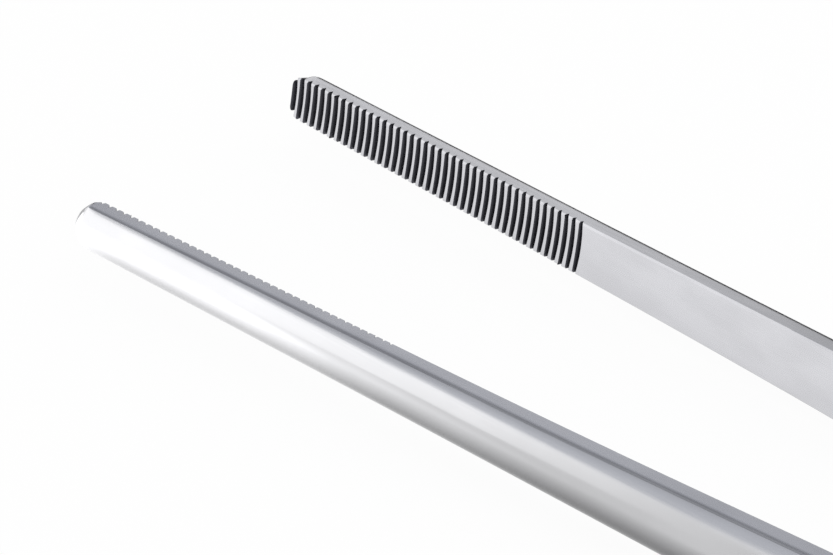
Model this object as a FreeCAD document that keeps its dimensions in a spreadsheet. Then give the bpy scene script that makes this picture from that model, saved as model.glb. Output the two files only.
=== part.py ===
# Dressing forceps: two sprung steel arms with serrated jaws, welded together at the tail.
#
# The instrument lies on its side. X runs along it, with the tips at -X and the tail at +X,
# Y runs across the opening from the near arm to the far arm, and Z is up.
# The origin is under the middle of the instrument, on the surface that it lies on.
# Every station is a distance from the tips, and all sizes are in millimetres and degrees.
import FreeCAD, Part
import os
import Sketcher
from math import asin, cos, pi, sin

SIZES = [
    ("overall_length", 300.0, "tips to tail"),
    ("tip_gap", 36.0, "open gap between the inner faces at the tips"),
    ("jaw_length", 42.0, "straight serrated stretch of each arm"),
    ("jaw_taper", 1.46, "angle of a jaw's inner face to the middle plane"),
    ("neck_station", 66.0, "a station in the neck, where the shank widens"),
    ("shank_station", 95.0, "where the shank starts to level off"),
    ("grip_front", 155.0, "front end of the parallel grip"),
    ("grip_rear", 215.0, "rear end of the parallel grip"),
    ("spring_station", 262.0, "thin middle of the spring"),
    ("weld_length", 11.0, "stretch of tail that is welded"),
    ("weld_thickness", 0.3, "weld metal between the two arms"),
    ("bend_length", 6.0, "bend from the spring into the welded tail"),
    ("grinding_allowance", 0.1, "metal that is ground off flats"),
    ("tip_width", 5.56, "height of an arm at its tip, lying on its side"),
    ("jaw_width", 6.8, "height at the end of the serrations"),
    ("neck_width", 7.7, "height at the neck"),
    ("shank_width", 9.2, "height at the shank station"),
    ("grip_width", 11.6, "height over the grip"),
    ("spring_width", 9.8, "height at the thin middle of the spring"),
    ("tail_width", 9.0, "height of the welded tail"),
    ("jaw_edge", 2.0, "thickness of the flat side of an arm along the jaw"),
    ("neck_edge", 2.1, "thickness of the flat side at the neck"),
    ("shank_edge", 2.2, "thickness of the flat side at the shank"),
    ("grip_edge", 2.4, "thickness of the flat side at the grip"),
    ("spring_edge", 1.6, "thickness of the flat side at the spring"),
    ("tip_dome", 1.3, "rise of the domed back at the tip"),
    ("jaw_dome", 1.6, "rise of the domed back at the end of the serrations"),
    ("neck_dome", 1.8, "rise of the domed back at the neck"),
    ("shank_dome", 2.1, "rise of the domed back at the shank"),
    ("grip_dome", 1.5, "rise of the domed back at the grip"),
    ("spring_dome", 0.6, "rise of the domed back at the spring"),
    ("nose_corner", 1.5, "corner radius of the jaw's outline at the tip"),
    ("nose_round", 1.2, "rounding of the back over the tip"),
    ("tail_corner", 3.0, "corner radius of the tail's outline"),
    ("tooth_pitch", 1.0, "pitch of the serrations"),
    ("far_tooth_count", 42, "serrations on the far jaw"),
    ("near_tooth_count", 41, "serrations on the near jaw"),
    ("tooth_groove", 0.72, "width of the first serration at the jaw's face"),
    ("tooth_depth", 0.72, "depth of the first serration at mid width"),
    ("row_tilt", 0.12, "angle by which the row of serrations runs shallower to the heel"),
    ("far_first_tooth", 0.40, "first serration of the far jaw, from the tip"),
    ("near_first_tooth", 1.15, "first serration of the near jaw, from the tip"),
    ("cutter_radius", 25.0, "radius of the disc that cuts the serrations"),
    ("cutter_lean", 44.0, "lean of that disc, which bows the serrations"),
    ("ridge_pitch", 1.6, "pitch of the thumb grip's cross cuts"),
    ("ridge_count", 28, "cross cuts on each thumb grip"),
    ("ridge_groove", 1.0, "width of a cross cut at the ridge of the back"),
    ("ridge_depth", 0.5, "depth of a cross cut"),
]

doc = FreeCAD.newDocument("dressing_forceps")
sheet = doc.addObject("Spreadsheet::Sheet", "sizes")
for row, (alias, value, meaning) in enumerate(SIZES, start=1):
    sheet.set(f"A{row}", meaning)
    sheet.set(f"B{row}", str(value))
    sheet.setAlias(f"B{row}", alias)
doc.recompute()

# Expressions that several features share, written once.
WELD_FRONT = "(sizes.overall_length - sizes.weld_length)"
HEEL = f"({WELD_FRONT} - sizes.bend_length / 2)"
TAPER = "tan(sizes.jaw_taper * 1deg)"
BOW = (f"((sizes.tip_gap / 2 - {TAPER} * {HEEL} - sizes.weld_thickness / 2)"
       f" / ({HEEL} - sizes.jaw_length) ^ 2)")
TAIL_GAP = "(sizes.weld_thickness / 2 - sizes.grinding_allowance)"
GRIP_STOCK = "(sizes.grip_width + sizes.grinding_allowance)"
GRIP_MIDDLE = "((sizes.grip_front + sizes.grip_rear) / 2)"


def along(station):
    """X of a station that is measured from the tips."""
    return f"({station} - sizes.overall_length / 2)"


def jaw_gap(station):
    """Half gap of the inner faces along the straight jaw."""
    return f"(sizes.tip_gap / 2 - {TAPER} * {station})"


def arm_gap(station):
    """Half gap behind the jaw, where the arm bows in towards the tail."""
    return f"({jaw_gap(station)} - {BOW} * ({station} - sizes.jaw_length) ^ 2)"


def origin_plane(body, role):
    return next(plane for plane in body.Origin.OriginFeatures if plane.Role == role)


def new_sketch(body, name, role):
    sketch = body.newObject("Sketcher::SketchObject", name)
    sketch.AttachmentSupport = [(origin_plane(body, role), "")]
    sketch.MapMode = "FlatFace"
    return sketch


def bind(sketch, constraint, name, expression):
    """Add a constraint, name it and tie its value to the sheet."""
    index = sketch.addConstraint(constraint)
    sketch.renameConstraint(index, name)
    sketch.setExpression(f"Constraints.{name}", expression)


def arc_about(centre, radius, start, end):
    """Arc about a centre, anticlockwise between two angles in radians."""
    circle = Part.Circle(centre, FreeCAD.Vector(0, 0, 1), radius)
    return Part.ArcOfCircle(circle, start, end)


def d_section(body, name, side, station, gap, width, edge, dome):
    """Cross-section of an arm: flat inner face, two flat sides and a domed back."""
    sketch = new_sketch(body, name, "YZ_Plane")
    sketch.setExpression(".AttachmentOffset.Base.z", along(station))
    gap_now, width_now, edge_now, dome_now = (
        float(sketch.evalExpression(text)) for text in (gap, width, edge, dome))
    radius = f"(({width}) ^ 2 / 4 + ({dome}) ^ 2) / (2 * ({dome}))"
    radius_now = float(sketch.evalExpression(radius))
    half = width_now / 2
    inner_y = side * gap_now
    edge_y = side * (gap_now + edge_now)
    centre = FreeCAD.Vector(side * (gap_now + edge_now + dome_now - radius_now), 0, 0)
    spread = asin(half / radius_now)
    facing = 0 if side > 0 else pi
    inner_low = FreeCAD.Vector(inner_y, -half, 0)
    inner_top = FreeCAD.Vector(inner_y, half, 0)
    edge_low = FreeCAD.Vector(edge_y, -half, 0)
    edge_top = FreeCAD.Vector(edge_y, half, 0)
    inner = sketch.addGeometry(Part.LineSegment(inner_low, inner_top))
    top = sketch.addGeometry(Part.LineSegment(inner_top, edge_top))
    back = sketch.addGeometry(arc_about(centre, radius_now, facing - spread, facing + spread))
    low = sketch.addGeometry(Part.LineSegment(edge_low, inner_low))
    back_top, back_low = (2, 1) if side > 0 else (1, 2)
    sketch.addConstraint([
        Sketcher.Constraint("Coincident", inner, 2, top, 1),
        Sketcher.Constraint("Coincident", top, 2, back, back_top),
        Sketcher.Constraint("Coincident", back, back_low, low, 1),
        Sketcher.Constraint("Coincident", low, 2, inner, 1),
        Sketcher.Constraint("Horizontal", top),
        Sketcher.Constraint("Horizontal", low),
        Sketcher.Constraint("Symmetric", inner, 1, inner, 2, -1),
        Sketcher.Constraint("PointOnObject", back, 3, -1),
    ])
    bind(sketch, Sketcher.Constraint("DistanceX", -1, 1, inner, 1, inner_y), "gap",
         f"{side} * {gap}")
    bind(sketch, Sketcher.Constraint("DistanceY", inner, 1, inner, 2, width_now), "width", width)
    bind(sketch, Sketcher.Constraint("DistanceX", top, 1, top, 2, side * edge_now), "edge",
         f"{side} * {edge}")
    bind(sketch, Sketcher.Constraint("Radius", back, radius_now), "dome_radius", radius)
    return sketch


def loft(body, name, sections, ruled):
    feature = body.newObject("PartDesign::AdditiveLoft", name)
    feature.Profile = sections[0]
    feature.Sections = sections[1:]
    feature.Ruled = ruled
    doc.recompute()
    return feature


def rectangle(sketch, start, length, height):
    """Rectangle from X = start, as tall above the X axis as below it."""
    corners = [FreeCAD.Vector(x, y, 0) for x, y in ((1, -1), (2, -1), (2, 1), (1, 1))]
    lines = [sketch.addGeometry(Part.LineSegment(here, there))
             for here, there in zip(corners, corners[1:] + corners[:1])]
    for index, line in enumerate(lines):
        after = lines[(index + 1) % len(lines)]
        sketch.addConstraint(Sketcher.Constraint("Coincident", line, 2, after, 1))
    bottom, right, top, left = lines
    sketch.addConstraint(Sketcher.Constraint("Horizontal", bottom))
    sketch.addConstraint(Sketcher.Constraint("Horizontal", top))
    sketch.addConstraint(Sketcher.Constraint("Vertical", left))
    sketch.addConstraint(Sketcher.Constraint("Symmetric", right, 1, right, 2, -1))
    bind(sketch, Sketcher.Constraint("DistanceX", -1, 1, bottom, 1, 1), "start", start)
    bind(sketch, Sketcher.Constraint("DistanceX", bottom, 1, bottom, 2, 1), "length", length)
    bind(sketch, Sketcher.Constraint("DistanceY", right, 1, right, 2, 2), "height", height)


def pocket(body, name, sketch, midplane=False, reverse=False):
    """Cut a sketch's shape away, right through on one side of it or on both."""
    feature = body.newObject("PartDesign::Pocket", name)
    feature.Profile = sketch
    feature.Type = "ThroughAll"
    feature.Midplane = midplane
    feature.Reversed = reverse
    doc.recompute()
    return feature


def flat_cut(body, name, role, offset, reverse, start, length, height):
    """Cut everything beyond a plane, over a rectangle on it."""
    sketch = new_sketch(body, f"{name}_outline", role)
    sketch.setExpression(".AttachmentOffset.Base.z", offset)
    rectangle(sketch, start, length, height)
    return pocket(body, name, sketch, reverse=reverse)


def corner_cut(body, name, role, end, sides, level, slope, radius):
    """Round a corner at one end of an arm, tangent to its end and to the edge beside it.

    The edge starts at a level over the X axis and rises by the slope towards the middle.
    The tips are at end -1 and the tail at end 1, and sides lists the sides of the axis.
    """
    sketch = new_sketch(body, f"{name}_outline", role)
    tilt = f"atan({slope})"
    centre_x = f"{end} * (sizes.overall_length / 2 - {radius})"
    tangent_x = f"{centre_x} + {end} * {radius} * sin({tilt})"
    centre_level = f"({level} + {slope} * {radius} - {radius} / cos({tilt}))"
    stock = f"2 * {radius}"
    centre_x_now, tangent_x_now, level_now, radius_now, tilt_now = (
        float(sketch.evalExpression(text))
        for text in (centre_x, tangent_x, centre_level, radius, f"{tilt} / 1rad"))
    for side in sides:
        edge = "upper" if side > 0 else "lower"
        centre_y = side * level_now
        on_end = FreeCAD.Vector(centre_x_now + end * radius_now, centre_y, 0)
        on_edge = FreeCAD.Vector(tangent_x_now, centre_y + side * radius_now * cos(tilt_now), 0)
        centre = FreeCAD.Vector(centre_x_now, centre_y, 0)
        end_angle = pi / 2 - end * pi / 2
        edge_angle = end_angle + end * side * (pi / 2 - tilt_now)
        beyond = end * radius_now
        corners = [
            on_edge,
            on_edge + FreeCAD.Vector(0, side * radius_now, 0),
            FreeCAD.Vector(on_end.x + beyond, on_edge.y + side * radius_now, 0),
            on_end + FreeCAD.Vector(beyond, 0, 0),
            on_end,
        ]
        arc = sketch.addGeometry(arc_about(centre, radius_now, *sorted((end_angle, edge_angle))))
        rise, across, fall, back = (sketch.addGeometry(Part.LineSegment(here, there))
                                    for here, there in zip(corners, corners[1:]))
        arc_on_edge, arc_on_end = (1, 2) if end * side < 0 else (2, 1)
        sketch.addConstraint([
            Sketcher.Constraint("Coincident", arc, arc_on_edge, rise, 1),
            Sketcher.Constraint("Coincident", rise, 2, across, 1),
            Sketcher.Constraint("Coincident", across, 2, fall, 1),
            Sketcher.Constraint("Coincident", fall, 2, back, 1),
            Sketcher.Constraint("Coincident", back, 2, arc, arc_on_end),
            Sketcher.Constraint("Vertical", rise),
            Sketcher.Constraint("Horizontal", across),
            Sketcher.Constraint("Vertical", fall),
            Sketcher.Constraint("Horizontal", back),
            Sketcher.Constraint("Horizontal", arc, 3, arc, arc_on_end),
        ])
        bind(sketch, Sketcher.Constraint("Radius", arc, radius_now), f"{edge}_radius", radius)
        bind(sketch, Sketcher.Constraint("DistanceX", -1, 1, arc, 3, centre_x_now),
             f"{edge}_centre_x", centre_x)
        bind(sketch, Sketcher.Constraint("DistanceY", -1, 1, arc, 3, centre_y),
             f"{edge}_centre_level", f"{side} * {centre_level}")
        bind(sketch, Sketcher.Constraint("DistanceX", -1, 1, arc, arc_on_edge, tangent_x_now),
             f"{edge}_tangent_x", tangent_x)
        bind(sketch, Sketcher.Constraint("DistanceX", back, 1, back, 2, -beyond),
             f"{edge}_stock_x", f"{-end} * {stock}")
        bind(sketch, Sketcher.Constraint("DistanceY", rise, 1, rise, 2, side * radius_now),
             f"{edge}_stock_level", f"{side} * {stock}")
    return pocket(body, name, sketch, midplane=True)


def line_pattern(body, name, feature, direction, length, count):
    pattern = body.newObject("PartDesign::LinearPattern", name)
    pattern.Originals = [feature]
    pattern.Direction = direction
    pattern.setExpression("Length", length)
    pattern.setExpression("Occurrences", count)
    body.Tip = pattern
    doc.recompute()
    return pattern


def add_blank(body, side):
    """The forged arm: a straight jaw, a bowed shank and spring, and a flat tail."""
    jaw = "sizes.jaw_length"
    tip = d_section(body, "tip_section", side, "0", jaw_gap("0"), "sizes.tip_width",
                    "sizes.jaw_edge", "sizes.tip_dome")
    root = d_section(body, "jaw_section", side, jaw, jaw_gap(jaw), "sizes.jaw_width",
                     "sizes.jaw_edge", "sizes.jaw_dome")
    loft(body, "jaw", [tip, root], True)
    stations = [
        ("neck", "sizes.neck_station", "sizes.neck_width", "sizes.neck_edge", "sizes.neck_dome"),
        ("shank", "sizes.shank_station", "sizes.shank_width", "sizes.shank_edge", "sizes.shank_dome"),
        ("grip_front", "sizes.grip_front", GRIP_STOCK, "sizes.grip_edge", "sizes.grip_dome"),
        ("grip_middle", GRIP_MIDDLE, GRIP_STOCK, "sizes.grip_edge", "sizes.grip_dome"),
        ("grip_rear", "sizes.grip_rear", GRIP_STOCK, "sizes.grip_edge", "sizes.grip_dome"),
        ("spring", "sizes.spring_station", "sizes.spring_width", "sizes.spring_edge",
         "sizes.spring_dome"),
        ("bend", f"({HEEL} - sizes.bend_length / 2)", "sizes.tail_width", "sizes.spring_edge",
         "sizes.spring_dome"),
    ]
    blade = [root]
    for name, station, width, edge, dome in stations:
        blade.append(d_section(body, f"{name}_section", side, station, arm_gap(station),
                               width, edge, dome))
    loft(body, "blade", blade, False)
    tail = [blade[-1]]
    for name, station in (("weld_front", WELD_FRONT), ("tail", "sizes.overall_length")):
        tail.append(d_section(body, f"{name}_section", side, station, TAIL_GAP,
                              "sizes.tail_width", "sizes.spring_edge", "sizes.spring_dome"))
    return loft(body, "tail", tail, True)


def grind_flats(body, side):
    """Grind the sides of the grip parallel, and the inner face flat where it is welded."""
    half = "sizes.grip_width / 2"
    whole = "sizes.overall_length"
    for name, offset, reverse in (("top_side", half, True), ("low_side", f"-1 * {half}", False)):
        flat_cut(body, name, "XY_Plane", offset, reverse, f"-1 * {whole} / 2", whole,
                 "4 * sizes.tip_gap")
    # The XZ plane's sketches face -Y.
    flat_cut(body, "weld_face", "XZ_Plane", f"{-side} * sizes.weld_thickness / 2", side > 0,
             along("sizes.grip_rear"), whole, "2 * sizes.grip_width")


def round_ends(body, side):
    """Round the outlines of the nose and the tail, and the back over the nose."""
    widening = "((sizes.jaw_width - sizes.tip_width) / 2 / sizes.jaw_length)"
    corner_cut(body, "nose_corners", "XZ_Plane", -1, (1, -1), "sizes.tip_width / 2", widening,
               "sizes.nose_corner")
    corner_cut(body, "tail_corners", "XZ_Plane", 1, (1, -1), "sizes.tail_width / 2", "0",
               "sizes.tail_corner")
    ridge = "(sizes.tip_gap / 2 + sizes.jaw_edge + sizes.tip_dome)"
    falling = f"((sizes.jaw_dome - sizes.tip_dome) / sizes.jaw_length - {TAPER})"
    corner_cut(body, "nose_round", "XY_Plane", -1, (side,), ridge, falling, "sizes.nose_round")


def notch(body, name, side, station, level, tilt, width, depth, outward):
    """Sketch of a V cut, in the frame of the face that it goes into.

    Its X axis runs along the face, tilted to the middle plane by an angle, and the
    outward direction is the side of the face that lies open: 1 for +Y and -1 for -Y.
    """
    sketch = new_sketch(body, name, "XY_Plane")
    sketch.AttachmentOffset = FreeCAD.Placement(
        FreeCAD.Vector(), FreeCAD.Rotation(FreeCAD.Vector(0, 0, -side), 1))
    sketch.setExpression(".AttachmentOffset.Rotation.Angle", tilt)
    sketch.setExpression(".AttachmentOffset.Base.x", along(station))
    sketch.setExpression(".AttachmentOffset.Base.y", f"{side} * {level}")
    width_now, depth_now = (float(sketch.evalExpression(text)) for text in (width, depth))
    # The V's flanks are drawn on past the face by this share of its depth.
    overrun = 0.5
    mouth = f"{1 + overrun} * {width}"
    rim = f"{outward * overrun} * {depth}"
    mouth_now = (1 + overrun) * width_now
    left = FreeCAD.Vector(-mouth_now / 2, outward * overrun * depth_now, 0)
    right = FreeCAD.Vector(mouth_now / 2, left.y, 0)
    root = FreeCAD.Vector(0, -outward * depth_now, 0)
    lines = [sketch.addGeometry(Part.LineSegment(here, there))
             for here, there in ((left, root), (root, right), (right, left))]
    down, up, across = lines
    sketch.addConstraint([
        Sketcher.Constraint("Coincident", down, 2, up, 1),
        Sketcher.Constraint("Coincident", up, 2, across, 1),
        Sketcher.Constraint("Coincident", across, 2, down, 1),
        Sketcher.Constraint("PointOnObject", down, 2, -2),
        Sketcher.Constraint("Horizontal", across),
    ])
    bind(sketch, Sketcher.Constraint("DistanceX", down, 1, up, 2, mouth_now), "mouth", mouth)
    bind(sketch, Sketcher.Constraint("DistanceX", down, 1, down, 2, mouth_now / 2), "half_mouth",
         f"{mouth} / 2")
    bind(sketch, Sketcher.Constraint("DistanceY", -1, 1, up, 2, left.y), "rim", rim)
    bind(sketch, Sketcher.Constraint("DistanceY", -1, 1, down, 2, root.y), "depth",
         f"{-outward} * {depth}")
    return sketch


def cut_teeth(body, side, first_tooth, tooth_count):
    """Serrations: V cuts by a leaned disc, so each bows and runs shallow at its ends."""
    sketch = notch(body, "tooth_outline", side, first_tooth, jaw_gap(first_tooth),
                   "(sizes.jaw_taper + sizes.row_tilt) * 1deg", "sizes.tooth_groove",
                   "sizes.tooth_depth", -side)
    lean = "sizes.cutter_lean * 1deg"
    centre_x = f"-1 * sizes.cutter_radius * sin({lean})"
    centre_y = f"{side} * (sizes.tooth_depth - sizes.cutter_radius * cos({lean}))"
    lean_now = float(sketch.evalExpression(f"{side} * {lean} / 1rad"))
    radius_now = float(sheet.cutter_radius)
    centre = FreeCAD.Vector(*(float(sketch.evalExpression(text)) for text in (centre_x, centre_y)))
    far_end = centre + FreeCAD.Vector(radius_now * cos(lean_now), -radius_now * sin(lean_now), 0)
    spindle = sketch.addGeometry(Part.LineSegment(centre, far_end), True)
    bind(sketch, Sketcher.Constraint("DistanceX", -1, 1, spindle, 1, centre.x), "centre_x", centre_x)
    bind(sketch, Sketcher.Constraint("DistanceY", -1, 1, spindle, 1, centre.y), "centre_y", centre_y)
    bind(sketch, Sketcher.Constraint("Distance", spindle, radius_now), "spindle_length",
         "sizes.cutter_radius")
    bind(sketch, Sketcher.Constraint("Angle", spindle, -lean_now), "lean", f"{-side} * {lean}")
    tooth = body.newObject("PartDesign::Groove", "tooth")
    tooth.Profile = sketch
    tooth.ReferenceAxis = (sketch, ["Axis0"])
    tooth.Midplane = True
    tooth.setExpression("Angle", "4 * asin(sizes.jaw_width / 2 / sizes.cutter_radius)")
    doc.recompute()
    line_pattern(body, "serrations", tooth, (sketch, ["H_Axis"]),
                 f"sizes.tooth_pitch * ({tooth_count} - 1)", tooth_count)


def cut_ridges(body, side):
    """Thumb grip: straight cross cuts over the ridge of the back."""
    run = "(sizes.ridge_pitch * (sizes.ridge_count - 1))"
    slope = f"({TAPER} + 2 * {BOW} * ({GRIP_MIDDLE} - sizes.jaw_length))"
    first = f"({GRIP_MIDDLE} - {run} / 2)"
    level = (f"({arm_gap(GRIP_MIDDLE)} + sizes.grip_edge + sizes.grip_dome"
             f" + {slope} * {run} / 2)")
    sketch = notch(body, "ridge_outline", side, first, level, f"atan({slope})",
                   "sizes.ridge_groove", "sizes.ridge_depth", side)
    ridge = pocket(body, "ridge", sketch, midplane=True)
    line_pattern(body, "thumb_grip", ridge, (sketch, ["H_Axis"]), run, "sizes.ridge_count")


def add_arm(name, side, first_tooth, tooth_count):
    body = doc.addObject("PartDesign::Body", name)
    body.Label = name
    add_blank(body, side)
    grind_flats(body, side)
    round_ends(body, side)
    cut_teeth(body, side, first_tooth, tooth_count)
    cut_ridges(body, side)
    body.setExpression(".Placement.Base.z", "sizes.grip_width / 2")
    doc.recompute()
    return body


def add_weld(name):
    """Weld metal between the two tails, flush with them all round."""
    body = doc.addObject("PartDesign::Body", name)
    body.Label = name
    sketch = new_sketch(body, "weld_outline", "XZ_Plane")
    rectangle(sketch, along(WELD_FRONT), "sizes.weld_length", "sizes.tail_width")
    plate = body.newObject("PartDesign::Pad", "plate")
    plate.Profile = sketch
    plate.Midplane = True
    plate.setExpression("Length", "sizes.weld_thickness")
    doc.recompute()
    corner_cut(body, "weld_corners", "XZ_Plane", 1, (1, -1), "sizes.tail_width / 2", "0",
               "sizes.tail_corner")
    body.setExpression(".Placement.Base.z", "sizes.grip_width / 2")
    return body


nodes = [
    add_arm("far_arm", 1, "sizes.far_first_tooth", "sizes.far_tooth_count"),
    add_arm("near_arm", -1, "sizes.near_first_tooth", "sizes.near_tooth_count"),
    add_weld("tail_weld"),
]
doc.recompute()

problems = [f"{thing.Label}: {thing.State}" for thing in doc.Objects
            if "Invalid" in thing.State or "Error" in thing.State]
for node in nodes:
    if node.Shape.isNull() or not node.Shape.isValid():
        problems.append(f"{node.Label}: shape is not a valid solid")
if problems:
    raise RuntimeError("; ".join(problems))

os.makedirs("parts", exist_ok=True)
for node in nodes:
    node.Shape.exportStep(f"parts/{node.Label}.step")
    box = node.Shape.BoundBox
    print(node.Label, len(node.Shape.Solids), "solid,", round(node.Shape.Volume), "mm3,", box)
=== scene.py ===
from math import asin, atan, cos, pi, radians, sin, sqrt, tan

import bmesh
import bpy
from mathutils import Matrix, Quaternion, Vector


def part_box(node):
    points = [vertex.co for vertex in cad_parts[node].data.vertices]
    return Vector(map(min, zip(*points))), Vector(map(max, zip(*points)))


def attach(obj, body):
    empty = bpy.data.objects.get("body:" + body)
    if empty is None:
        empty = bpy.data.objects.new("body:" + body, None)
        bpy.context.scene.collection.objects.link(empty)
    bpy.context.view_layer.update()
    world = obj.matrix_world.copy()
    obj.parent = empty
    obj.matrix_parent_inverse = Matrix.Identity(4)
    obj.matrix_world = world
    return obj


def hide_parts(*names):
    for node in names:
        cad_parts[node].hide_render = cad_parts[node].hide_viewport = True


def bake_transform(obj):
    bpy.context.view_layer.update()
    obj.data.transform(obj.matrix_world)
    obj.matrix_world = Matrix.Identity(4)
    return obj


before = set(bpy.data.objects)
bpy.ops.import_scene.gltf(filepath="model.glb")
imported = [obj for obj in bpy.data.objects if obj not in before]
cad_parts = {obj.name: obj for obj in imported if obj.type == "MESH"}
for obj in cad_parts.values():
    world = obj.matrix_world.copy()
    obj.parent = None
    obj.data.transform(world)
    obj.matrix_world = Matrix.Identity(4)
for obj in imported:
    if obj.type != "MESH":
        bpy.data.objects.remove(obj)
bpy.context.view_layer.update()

# Camera: it stands over the near arm and looks down on the jaws from the side of the tail, with
# a long lens. The tail is outside the picture, at its lower right.
CAMERA_PLACE = Vector((0.18510, -0.46620, 0.37442))
CAMERA_AIM = Vector((-0.12459, 0.00990, -0.00273))
CAMERA_ROLL = radians(7.795)
FOCAL_LENGTH = 264.45
camera_data = bpy.data.cameras.new("camera")
camera_data.sensor_width = 36
camera_data.lens = FOCAL_LENGTH
camera_data.clip_start = 0.01
camera = bpy.data.objects.new("camera", camera_data)
bpy.context.scene.collection.objects.link(camera)
camera.location = CAMERA_PLACE
aim = (CAMERA_AIM - CAMERA_PLACE).to_track_quat("-Z", "Y")
camera.rotation_euler = (aim @ Quaternion((0, 0, 1), CAMERA_ROLL)).to_euler()
bpy.context.scene.camera = camera
bpy.context.scene.view_settings.view_transform = "Standard"


# Blank of one arm: stainless steel, forged and ground, with a flat inner face, flat sides and a
# domed back. It is drawn out section by section from the tips to the tail, in millimetres, as a far
# arm. Each station, a distance from the tip, gives width, side thickness and dome height.
MM = 0.001
CLOSE = 0.001
arm_low, arm_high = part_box("far_arm")
TIP = arm_low.x / MM
LENGTH = (arm_high.x - arm_low.x) / MM
GRIP_WIDTH = (arm_high.z - arm_low.z) / MM
MIDDLE = GRIP_WIDTH / 2
TIP_HALF_GAP = 18.0
JAW_TAPER = radians(1.46)
JAW_LENGTH = 42.0
HEEL = 286.0
BEND_START = 283.0
WELD_HALF = 0.15
NOSE_FACE_CORNER = 1.2
NOSE_BACK_CORNER = 2.6
ROUND_NOSE = 3.6
ROUND_NOSE_END = 1.19
ROUND_NOSE_EDGE = 0.3
ROUND_NOSE_TIP = 0.25
NOSE_CUT_BACK = 2.2
NOSE_CUT_RISE = 2.8
NOSE_CUT_FACING = (-0.58, -0.55, 0.6)
NOSE_DOME_FALL = 1.44
TAIL_CORNER = 3.0
OUTER_ROUND = 0.24
OUTER_STRETCH = 1.7
OUTER_REACH = 3 * OUTER_ROUND
INNER_CHAMFER = 0.26
INNER_SLOPE = 0.58
DOME_TURN = radians(50.4)
DOME_POINTS = 100
SHANK_STEP = 4.0
SHANK_STEPS = 59
BEND_STEP = 1.5
BEND_STEPS = 14
FLAT_ANGLE = radians(0.02)
STATIONS = {
    0: (5.56, 1.83, 1.49),
    JAW_LENGTH: (6.8, 1.84, 1.82),
    66: (7.7, 2.0, 1.97),
    95: (9.2, 2.17, 2.13),
    155: (GRIP_WIDTH, 2.4, 1.5),
    215: (GRIP_WIDTH, 2.4, 1.5),
    262: (9.8, 1.6, 0.6),
    BEND_START: (9.0, 1.6, 0.6),
    289: (9.0, 1.5, 0.6),
    LENGTH: (9.0, 1.5, 0.6),
}


def at_station(station, index):
    """One size of the section, on a smooth curve through the stations."""
    places = sorted(STATIONS)
    after = next(i for i, place in enumerate(places) if place >= station and i > 0)
    ends = [max(0, min(len(places) - 1, after + step)) for step in (-2, -1, 0, 1)]
    x0, x1, x2, x3 = (places[i] for i in ends)
    y0, y1, y2, y3 = (STATIONS[places[i]][index] for i in ends)
    share = (station - x1) / (x2 - x1)
    if x2 <= JAW_LENGTH or x1 >= BEND_START:
        return y1 + (y2 - y1) * share
    start = (y2 - y0) / (x2 - x0) * (x2 - x1)
    end = (y3 - y1) / (x3 - x1) * (x2 - x1)
    return (y1 * (1 + 2 * share) * (1 - share) ** 2 + start * share * (1 - share) ** 2
            + y2 * (3 - 2 * share) * share ** 2 + end * (share - 1) * share ** 2)


def half_gap(station):
    """Half of the opening between the inner faces."""
    bow = (TIP_HALF_GAP - tan(JAW_TAPER) * HEEL - WELD_HALF) / (HEEL - JAW_LENGTH) ** 2
    open_gap = (TIP_HALF_GAP - tan(JAW_TAPER) * min(station, HEEL)
                - bow * max(0, min(station, HEEL) - JAW_LENGTH) ** 2)
    return max(WELD_HALF, open_gap)


def quarter(distance, radius):
    """How far a quarter round of a radius still falls short at a distance from its start."""
    return radius - sqrt(radius ** 2 - max(0, radius - distance) ** 2)


def section(station, round_nose=False):
    """The arm at a station: inner face, widths of face and back, side thickness and dome."""
    width = min(GRIP_WIDTH, at_station(station, 0))
    edge = at_station(station, 1)
    dome = at_station(station, 2)
    tail_round = 2 * quarter(LENGTH - station, TAIL_CORNER)
    face_short = quarter(station, NOSE_FACE_CORNER)
    back_short = quarter(station, NOSE_BACK_CORNER)
    if round_nose and station < NOSE_BACK_CORNER:
        end = sqrt(station * (2 * ROUND_NOSE - station))
        face_short = max(width / 2 - max(ROUND_NOSE_TIP, end),
                         quarter(max(0, station - ROUND_NOSE_END), ROUND_NOSE_EDGE))
        back_short = face_short
    face_width = width - tail_round - 2 * face_short
    back_width = width - tail_round - 2 * back_short
    short = quarter(station, NOSE_BACK_CORNER) / NOSE_BACK_CORNER
    return half_gap(station), face_width, back_width, edge, dome - NOSE_DOME_FALL * short


def deselect_all():
    """Leave edit mode and select nothing."""
    if bpy.context.object and bpy.context.object.mode == "EDIT":
        bpy.ops.object.mode_set(mode="OBJECT")
    bpy.ops.object.select_all(action="DESELECT")


def pick(test, among_selected=False):
    """In edit mode, select the vertices that pass a test, with the edges between them."""
    mesh = bmesh.from_edit_mesh(bpy.context.object.data)
    chosen = [v for v in mesh.verts if (v.select or not among_selected) and test(v.co)]
    bpy.ops.mesh.select_all(action="DESELECT")
    for vertex in chosen:
        vertex.select = True
    mesh.select_flush(True)
    bmesh.update_edit_mesh(bpy.context.object.data)


def finish_with(piece, kind, **settings):
    """Add a modifier to a piece and apply it."""
    deselect_all()
    bpy.context.view_layer.objects.active = piece
    piece.select_set(True)
    modifier = piece.modifiers.new(kind.lower(), kind)
    for name, value in settings.items():
        setattr(modifier, name, value)
    bpy.ops.object.modifier_apply(modifier=modifier.name)


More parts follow.
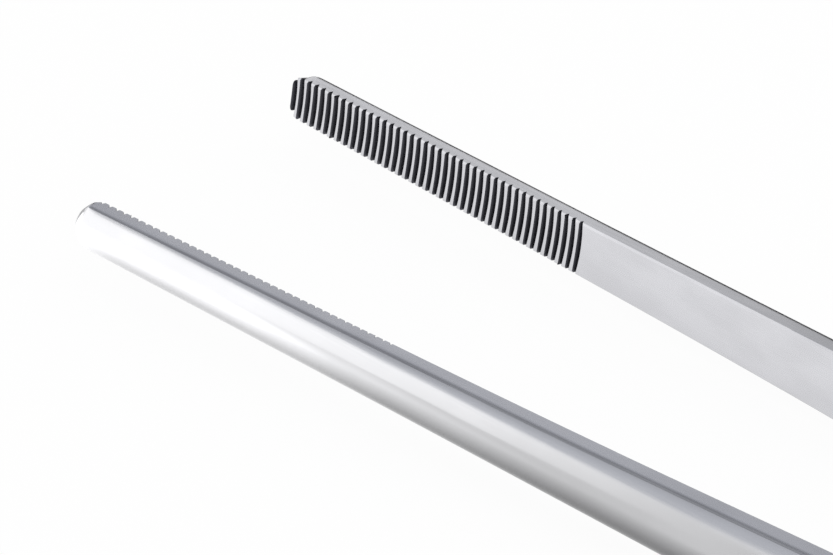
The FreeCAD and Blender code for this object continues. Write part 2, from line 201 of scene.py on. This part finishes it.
def shape_section(old, new):
    """Bring the selected section, which stands at its new inner face, from old to new sizes."""
    _, old_face, old_back, old_edge, old_dome = old
    gap, face, back, edge, dome = new
    top = gap + edge
    bpy.ops.transform.resize(value=(1, edge / old_edge, face / old_face),
                             center_override=(0, gap, MIDDLE))
    pick(lambda place: place.y > top - OUTER_REACH, among_selected=True)
    bpy.ops.transform.resize(value=(1, 1, back / old_back * old_face / face),
                             center_override=(0, top, MIDDLE))
    pick(lambda place: place.y > top - CLOSE, among_selected=True)
    bpy.ops.transform.resize(value=(1, dome / old_dome * old_edge / edge, 1),
                             center_override=(0, top, MIDDLE))


def draw_blank(round_nose):
    """Draw out a far arm without cuts. A round nose has its two inner corners cut off."""
    station = 0
    gap, _, _, edge, _ = section(0, round_nose)
    width = STATIONS[JAW_LENGTH][0]
    radius = width / 2 / sin(DOME_TURN)
    sizes = (gap, width, width, edge, radius * (1 - cos(DOME_TURN)))
    deselect_all()
    bpy.ops.mesh.primitive_circle_add(
        vertices=DOME_POINTS, radius=radius, rotation=(0, pi / 2, 0),
        location=(TIP, gap + edge - radius * cos(DOME_TURN), MIDDLE))
    blank = bpy.context.object
    bpy.ops.object.transform_apply(location=True, rotation=True, scale=True)
    bpy.ops.object.mode_set(mode="EDIT")
    bpy.ops.mesh.select_mode(type="VERT")
    pick(lambda place: place.y < gap + edge - CLOSE)
    bpy.ops.mesh.delete(type="VERT")
    pick(lambda place: place.y < gap + edge + CLOSE)
    bpy.ops.mesh.extrude_region_move(TRANSFORM_OT_translate={"value": (0, -edge, 0)})
    bpy.ops.mesh.select_all(action="SELECT")
    bpy.ops.mesh.edge_face_add()
    pick(lambda place: gap + CLOSE < place.y < gap + edge + CLOSE)
    bpy.ops.mesh.bevel(offset=OUTER_ROUND, segments=3, affect="VERTICES")
    pick(lambda place: gap + edge - OUTER_ROUND - CLOSE < place.y < gap + edge - CLOSE)
    bpy.ops.transform.resize(value=(1, OUTER_STRETCH, 1),
                             center_override=(0, gap + edge, MIDDLE))
    pick(lambda place: place.y < gap + CLOSE)
    bpy.ops.mesh.bevel(offset=INNER_CHAMFER, segments=1, affect="VERTICES")
    pick(lambda place: place.y < gap + INNER_CHAMFER + CLOSE)
    bpy.ops.transform.resize(value=(1, INNER_SLOPE, 1), center_override=(0, gap, MIDDLE))
    bpy.ops.mesh.select_all(action="SELECT")
    shape_section(sizes, section(0, round_nose))
    sizes = section(0, round_nose)
    nose = [NOSE_BACK_CORNER * (1 - cos(radians(angle))) for angle in range(10, 91, 10)]
    nose = sorted(nose + [ROUND_NOSE_END + ROUND_NOSE_EDGE * share for share in (0.5, 0.7, 1)])
    shank = [JAW_LENGTH + SHANK_STEP * step for step in range(SHANK_STEPS)]
    bend = [shank[-1] + BEND_STEP * step for step in range(1, BEND_STEPS + 1)]
    tail = [LENGTH - TAIL_CORNER * (1 - sin(radians(angle))) for angle in range(0, 91, 15)]
    for next_station in nose + shank + bend + tail:
        next_sizes = section(next_station, round_nose)
        end = TIP + station
        pick(lambda place: place.x > end - CLOSE)
        bpy.ops.mesh.extrude_region_move(TRANSFORM_OT_translate={
            "value": (next_station - station, next_sizes[0] - sizes[0], 0)})
        shape_section(sizes, next_sizes)
        station, sizes = next_station, next_sizes
    bpy.ops.mesh.select_all(action="SELECT")
    bpy.ops.mesh.normals_make_consistent(inside=False)
    bpy.ops.mesh.dissolve_limited(angle_limit=FLAT_ANGLE)
    if round_nose:
        forward, inward, upward = NOSE_CUT_FACING
        for side in (-1, 1):
            corner = (TIP + NOSE_CUT_BACK, half_gap(NOSE_CUT_BACK), MIDDLE + NOSE_CUT_RISE * side)
            bpy.ops.mesh.select_all(action="SELECT")
            bpy.ops.mesh.bisect(plane_co=corner, plane_no=(forward, inward, upward * side),
                                use_fill=True, clear_outer=True)
    deselect_all()
    return blank


# Satin stainless steel: ground lengthwise on the flat faces, polished on the backs, and rougher
# down in the serrations, where no polishing wheel reaches. There the steel is painted near black:
# painted shade in the cuts.
class Value:
    """A shader socket that Python's operators add Math nodes to."""

    def __init__(self, paint, socket):
        self.paint = paint
        self.socket = socket

    def maths(self, operation, first, second):
        return self.paint.node("ShaderNodeMath", {"operation": operation}, {0: first, 1: second})

    def __sub__(self, other):
        return self.maths("SUBTRACT", self, other)

    def __mul__(self, other):
        return self.maths("MULTIPLY", self, other)

    def __pow__(self, other):
        return self.maths("POWER", self, other)

    __rmul__ = __mul__


class Paint:
    """The node tree of a material or of the world."""

    def __init__(self, owner):
        self.owner = owner
        owner.use_nodes = True
        self.tree = owner.node_tree
        self.tree.nodes.clear()

    def node(self, kind, settings={}, sockets={}, output=0):
        """Add one node with its settings and the values or links of its sockets."""
        node = self.tree.nodes.new(kind)
        for name, value in settings.items():
            setattr(node, name, value)
        for name, value in sockets.items():
            if isinstance(value, Value):
                self.tree.links.new(value.socket, node.inputs[name])
            else:
                node.inputs[name].default_value = value
        return Value(self, node.outputs[output]) if node.outputs else node

    def mix(self, factor, first, second):
        """Colour between two colours."""
        return self.node("ShaderNodeMix", {"data_type": "RGBA"},
                         {0: factor, 6: first, 7: second}, output=2)

    def ramp(self, value, low, high, to_low=0.0, to_high=1.0):
        """Value brought smoothly from one range to another."""
        return self.node("ShaderNodeMapRange", {"interpolation_type": "SMOOTHSTEP"},
                         {0: value, 1: low, 2: high, 3: to_low, 4: to_high})

    def noise(self, stretch, scale, detail=3.0):
        """Noise on the object's own coordinates, stretched by a scale along each axis."""
        place = self.node("ShaderNodeTexCoord", output="Object")
        drawn = self.node("ShaderNodeMapping", {}, {0: place, 3: stretch})
        return self.node("ShaderNodeTexNoise", {}, {"Vector": drawn, "Scale": scale,
                                                    "Detail": detail})


def steel(name, colour, roughness, scratch, mottle):
    """Steel whose fine lines run along the arm. Mottle is how far its tone varies."""
    material = bpy.data.materials.new(name)
    paint = Paint(material)
    lines = paint.noise((1, 60, 60), 90)
    clouds = paint.noise((0.5, 1, 1), 260, 4.0)
    darker = tuple(channel * (1 - mottle) for channel in colour) + (1.0,)
    tone = paint.mix(paint.ramp(clouds, 0.35, 0.65), darker, colour + (1.0,))
    rough = paint.ramp(lines, 0.3, 0.7, roughness - 0.03, roughness + 0.03)
    grain = paint.node("ShaderNodeBump", {}, {"Strength": scratch, "Distance": 0.00002,
                                              "Height": lines})
    surface = paint.node("ShaderNodeBsdfPrincipled", {}, {
        "Base Color": tone, "Metallic": 1.0, "Roughness": rough, "Normal": grain})
    paint.node("ShaderNodeOutputMaterial", {}, {"Surface": surface})
    return material


GROUND_STEEL = steel("ground_steel", (0.70, 0.70, 0.73), 0.26, 0.10, 0.06)
POLISHED_STEEL = steel("polished_steel", (0.86, 0.86, 0.88), 0.20, 0.10, 0.03)
# The serration steel's near-black colour is painted shade down in the cuts, not the steel's own
# tone.
SERRATION_SHADE_STEEL = steel("serration_shade_steel", (0.10, 0.10, 0.115), 0.45, 0.3, 0.10)


# Serrations: V cuts across the jaws, 42 on the far one and 40 on the near one. One cut is a V
# swung about the leaned spindle of its wheel, so that it bows and runs shallow at its ends. The
# others are copies of it, a little shallower towards the heel.
TOOTH_PITCH = 1.0
FAR_TOOTH_COUNT = 42
NEAR_TOOTH_COUNT = 40
TOOTH_GROOVE = 0.72
TOOTH_DEPTH = 0.72
ROW_TILT = radians(0.12)
OVERRUN = 0.5
WHEEL_RADIUS = 25.0
WHEEL_LEAN = radians(44)
FAR_FIRST_TOOTH = 0.40
NEAR_FIRST_TOOTH = 2.15
SWING = 2 * asin(STATIONS[JAW_LENGTH][0] / 2 / WHEEL_RADIUS)
SWING_STEPS = 28


def notch(groove, depth):
    """A triangular face for a V cut, with its flanks drawn on past the steel's face."""
    deselect_all()
    bpy.ops.mesh.primitive_circle_add(vertices=3, fill_type="NGON")
    cutter = bpy.context.object
    mouth = groove / 2 * (1 + OVERRUN)
    corners = [(-mouth, -depth * OVERRUN, 0), (mouth, -depth * OVERRUN, 0), (0, depth, 0)]
    for vertex, corner in zip(cutter.data.vertices, corners):
        vertex.co = corner
    return cutter


def place_mesh(piece, matrix):
    """Move a piece's mesh, and leave its object at the origin."""
    piece.data.transform(matrix)
    piece.data.update()


def cut_serrations(arm, first_tooth, tooth_count):
    """Cut the serrations of a far arm's jaw, the first one at a distance from the tip."""
    cutter = notch(TOOTH_GROOVE, TOOTH_DEPTH)
    hub = Matrix.Translation((-WHEEL_RADIUS * sin(WHEEL_LEAN),
                              TOOTH_DEPTH - WHEEL_RADIUS * cos(WHEEL_LEAN), 0))
    wheel = hub @ Matrix.Rotation(-WHEEL_LEAN, 4, "Z")
    place_mesh(cutter, wheel.inverted())
    bpy.ops.object.mode_set(mode="EDIT")
    bpy.ops.mesh.select_all(action="SELECT")
    bpy.ops.mesh.spin(steps=SWING_STEPS, angle=2 * SWING, center=(0, 0, 0), axis=(1, 0, 0))
    bpy.ops.mesh.select_all(action="SELECT")
    bpy.ops.mesh.normals_make_consistent(inside=False)
    deselect_all()
    face = (TIP + first_tooth, half_gap(first_tooth), MIDDLE)
    row_slope = JAW_TAPER + ROW_TILT
    jaw = Matrix.Translation(face) @ Matrix.Rotation(-row_slope, 4, "Z")
    place_mesh(cutter, jaw @ wheel @ Matrix.Rotation(SWING, 4, "X"))
    # The cut faces take the near-black serration steel: painted shade in the grooves.
    cutter.data.materials.append(SERRATION_SHADE_STEEL)
    step = Vector((TOOTH_PITCH * cos(row_slope), -TOOTH_PITCH * sin(row_slope), 0))
    finish_with(cutter, "ARRAY", count=tooth_count, use_relative_offset=False,
                use_constant_offset=True, constant_offset_displace=step)
    finish_with(arm, "BOOLEAN", operation="DIFFERENCE", solver="EXACT", object=cutter,
                material_mode="TRANSFER")
    bpy.data.objects.remove(cutter)


# Thumb grip: 28 straight cross cuts over the ridge of each back, at the middle of the grip. They
# are milled into the ground steel, and keep the fingers from slipping.
RIDGE_PITCH = 1.6
RIDGE_COUNT = 28
RIDGE_GROOVE = 1.0
RIDGE_DEPTH = 0.5
GRIP_MIDDLE = 185.0


def cut_thumb_grip(arm):
    """Cut the cross cuts into a far arm's back."""
    bar = notch(RIDGE_GROOVE, RIDGE_DEPTH)
    bpy.ops.object.mode_set(mode="EDIT")
    bpy.ops.mesh.select_all(action="SELECT")
    bpy.ops.mesh.extrude_region_move(TRANSFORM_OT_translate={"value": (0, 0, 2 * GRIP_WIDTH)})
    bpy.ops.mesh.select_all(action="SELECT")
    bpy.ops.mesh.normals_make_consistent(inside=False)
    deselect_all()
    middle_gap, _, _, middle_edge, middle_dome = section(GRIP_MIDDLE)
    slope = atan((half_gap(GRIP_MIDDLE + 1) - half_gap(GRIP_MIDDLE - 1)) / 2)
    run = RIDGE_PITCH * (RIDGE_COUNT - 1)
    ridge = Matrix.Translation((TIP + GRIP_MIDDLE, middle_gap + middle_edge + middle_dome, MIDDLE))
    turned = ridge @ Matrix.Rotation(slope, 4, "Z") @ Matrix.Rotation(pi, 4, "Z")
    place_mesh(bar, turned @ Matrix.Translation((run / 2, 0, -GRIP_WIDTH)))
    step = Vector((RIDGE_PITCH * cos(slope), RIDGE_PITCH * sin(slope), 0))
    finish_with(bar, "ARRAY", count=RIDGE_COUNT, use_relative_offset=False,
                use_constant_offset=True, constant_offset_displace=step)
    finish_with(arm, "BOOLEAN", operation="DIFFERENCE", solver="EXACT", object=bar,
                material_mode="TRANSFER")
    bpy.data.objects.remove(bar)


# The two arms: the near one is the far one's mirror image, but it has a rounder nose and its
# serrations start further back. The sharp edges are broken a little, as tumbling leaves them.
BACK_SLOPE = 0.5
GROOVE_ROUND = 0.03
SHARP_ANGLE = radians(61)
SMOOTH_ANGLE = radians(20)


def add_arm(name, side, first_tooth, tooth_count):
    """Make one whole arm. Its side is 1 for the far arm and -1 for the near one."""
    arm = draw_blank(round_nose=side < 0)
    arm.name = name
    arm.data.materials.append(GROUND_STEEL)
    arm.data.materials.append(POLISHED_STEEL)
    for face in arm.data.polygons:
        face.material_index = int(face.normal.y > BACK_SLOPE)
    cut_serrations(arm, first_tooth, tooth_count)
    cut_thumb_grip(arm)
    finish_with(arm, "BEVEL", limit_method="ANGLE", angle_limit=SHARP_ANGLE,
                width=GROOVE_ROUND, segments=2, use_clamp_overlap=False)
    if side < 0:
        place_mesh(arm, Matrix.Scale(-1, 4, (0, 1, 0)))
        arm.data.flip_normals()
    place_mesh(arm, Matrix.Scale(MM, 4))
    arm.select_set(True)
    bpy.context.view_layer.objects.active = arm
    bpy.ops.object.shade_smooth_by_angle(angle=SMOOTH_ANGLE)
    finish_with(arm, "WEIGHTED_NORMAL", keep_sharp=True)
    return arm


far_arm = add_arm("far_arm_steel", 1, FAR_FIRST_TOOTH, FAR_TOOTH_COUNT)
near_arm = add_arm("near_arm_steel", -1, NEAR_FIRST_TOOTH, NEAR_TOOTH_COUNT)
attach(far_arm, "far_half")
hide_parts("far_arm")
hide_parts("near_arm")
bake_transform(near_arm)


# Tail weld: a thin seam of weld metal between the two tails, which holds the arms together. It is
# ground flush with them, and stays a little duller and darker than they are.
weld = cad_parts["tail_weld"]
weld.data.materials.clear()
weld.data.materials.append(steel("weld_steel", (0.60, 0.58, 0.57), 0.42, 0.4, 0.15))


# Studio: a white floor and white surroundings. Only the steel's reflections show pools of light
# and shade on the floor, and two bright cards and two dark flags upright on it. They give the arms
# their bright and dark lines. An edge is where one tone ends and where the next is reached.
def grey(level, tint=0.0):
    """A grey, or a bluish one with a tint."""
    return (level * (1 - tint), level * (1 - tint / 2), level * (1 + tint), 1.0)


FLOOR_SIZE = 4.0
FLOOR_GLOW = 0.93
SHADE_REACH = 0.012
POOL_SLANT = 0.8
POOL_EDGE = (-0.111, -0.058)
FRONT_POOL_EDGE = (-0.113, -0.090)
NEAR_ARM_EDGE = (-0.0215, -0.014)
INNER_POOL_EDGE = (-0.010, -0.002)
FAR_ARM_EDGE = (0.018, 0.026)
BEYOND_TIPS_EDGE = (-0.168, -0.158)
deselect_all()
bpy.ops.mesh.primitive_plane_add(size=FLOOR_SIZE, location=(0, 0, 0))
floor = bpy.context.object
floor.name = "floor"
paint = Paint(bpy.data.materials.new("floor_paint"))
floor.data.materials.append(paint.owner)
from_camera = paint.node("ShaderNodeLightPath", output="Is Camera Ray")
from_steel = paint.node("ShaderNodeLightPath", output="Is Glossy Ray")
place = paint.node("ShaderNodeTexCoord", output="Object")
along = paint.node("ShaderNodeSeparateXYZ", {}, {0: place}, output="X")
across = paint.node("ShaderNodeSeparateXYZ", {}, {0: place}, output="Y")
open_sky = paint.node("ShaderNodeAmbientOcclusion", {"samples": 8},
                      {"Distance": SHADE_REACH}, output="AO")
reach = along - POOL_SLANT * across
edge_of_pool = paint.mix(paint.ramp(reach, *POOL_EDGE), grey(1.12), grey(0.65))
front_pool = paint.mix(paint.ramp(reach, *FRONT_POOL_EDGE), grey(1.6), edge_of_pool)
between = paint.ramp(across, *NEAR_ARM_EDGE)
behind = paint.ramp(across, *FAR_ARM_EDGE)
inner_pool = paint.mix(paint.ramp(across, *INNER_POOL_EDGE), grey(0.9), grey(1.02))
back_pool = paint.mix(behind, inner_pool, grey(0.75))
dark_beyond_tips = paint.mix(paint.ramp(along, *BEYOND_TIPS_EDGE), grey(0.45), back_pool)
pool = paint.mix(between, front_pool, dark_beyond_tips)
depth_of_shade = paint.ramp(between, 0.0, 1.0, 1.5, 0.3)
shaded = paint.mix(open_sky ** depth_of_shade, grey(0.0), pool)
matt = paint.node("ShaderNodeBsdfDiffuse", {}, {"Color": grey(0.93)})
white = paint.node("ShaderNodeEmission", {}, {"Color": grey(1.0), "Strength": 1.0})
bright = paint.node("ShaderNodeEmission", {}, {"Color": shaded, "Strength": 1.0})
seen = paint.node("ShaderNodeMixShader", {}, {0: from_camera * FLOOR_GLOW, 1: matt, 2: white})
mirrored = paint.node("ShaderNodeMixShader", {}, {0: from_steel, 1: seen, 2: bright})
paint.node("ShaderNodeOutputMaterial", {}, {"Surface": mirrored})


def add_card(name, y, ends, tops, levels, fade):
    """An upright card on the floor, whose top and grey change from the tips' end to the tail's."""
    deselect_all()
    bpy.ops.mesh.primitive_plane_add(size=1, rotation=(pi / 2, 0, 0))
    card = bpy.context.object
    card.name = name
    card.scale = (ends[1] - ends[0], 1, 1)
    card.location = (sum(ends) / 2, y, 0)
    bpy.ops.object.transform_apply(location=True, rotation=True, scale=True)
    for vertex in card.data.vertices:
        top = tops[0] if vertex.co.x < sum(ends) / 2 else tops[1]
        vertex.co.z = top if vertex.co.z > 0 else 0.0
    paint = Paint(bpy.data.materials.new(name + "_paint"))
    card.data.materials.append(paint.owner)
    place = paint.node("ShaderNodeTexCoord", output="Object")
    along = paint.node("ShaderNodeSeparateXYZ", {}, {0: place}, output="X")
    tone = paint.mix(paint.ramp(along, *fade), grey(levels[0]), grey(levels[1]))
    glow = paint.node("ShaderNodeEmission", {}, {"Color": tone, "Strength": 1.0})
    paint.node("ShaderNodeOutputMaterial", {}, {"Surface": glow})
    card.visible_camera = False
    card.visible_diffuse = False
    card.visible_shadow = False
    card.visible_transmission = False


add_card("front_card", y=-0.11, ends=(-0.4, -0.02), tops=(0.245, 0.0), levels=(1.17, 0.60),
         fade=(-0.18, -0.08))
add_card("rear_card", y=0.10, ends=(-0.4, 0.05), tops=(0.082, 0.082), levels=(0.90, 0.50),
         fade=(-0.175, -0.10))
add_card("rear_flag", y=0.099, ends=(-0.205, 0.05), tops=(0.045, 0.045), levels=(0.02, 0.02),
         fade=(-0.2, 0.0))
add_card("nose_flag", y=0.099, ends=(-0.30, -0.235), tops=(0.09, 0.09), levels=(0.02, 0.02),
         fade=(-0.3, -0.2))


# Surroundings: plain white to the camera and to the floor. The steel sees a grey sky with a darker
# ring high up, which draws the dark line along the upper edge of the near arm's back.
LOW_SKY_EDGE = (0.35, 0.55)
DARK_RING_EDGE = (0.70, 0.84)
TOP_EDGE = (0.90, 0.98)
world = bpy.data.worlds.new("studio")
bpy.context.scene.world = world
paint = Paint(world)
from_steel = paint.node("ShaderNodeLightPath", output="Is Glossy Ray")
direction = paint.node("ShaderNodeTexCoord", output="Generated")
height = paint.node("ShaderNodeSeparateXYZ", {}, {0: direction}, output="Z")
low_sky = paint.mix(paint.ramp(height, *LOW_SKY_EDGE), grey(0.9), grey(0.50, 0.05))
dark_ring = paint.mix(paint.ramp(height, *DARK_RING_EDGE), low_sky, grey(0.24, 0.05))
sky = paint.mix(paint.ramp(height, *TOP_EDGE), dark_ring, grey(0.45, 0.05))
shown = paint.mix(from_steel, grey(1.0), sky)
paint.node("ShaderNodeOutputWorld", {}, {"Surface": paint.node(
    "ShaderNodeBackground", {}, {"Color": shown, "Strength": 1.0})})

bpy.context.view_layer.update()
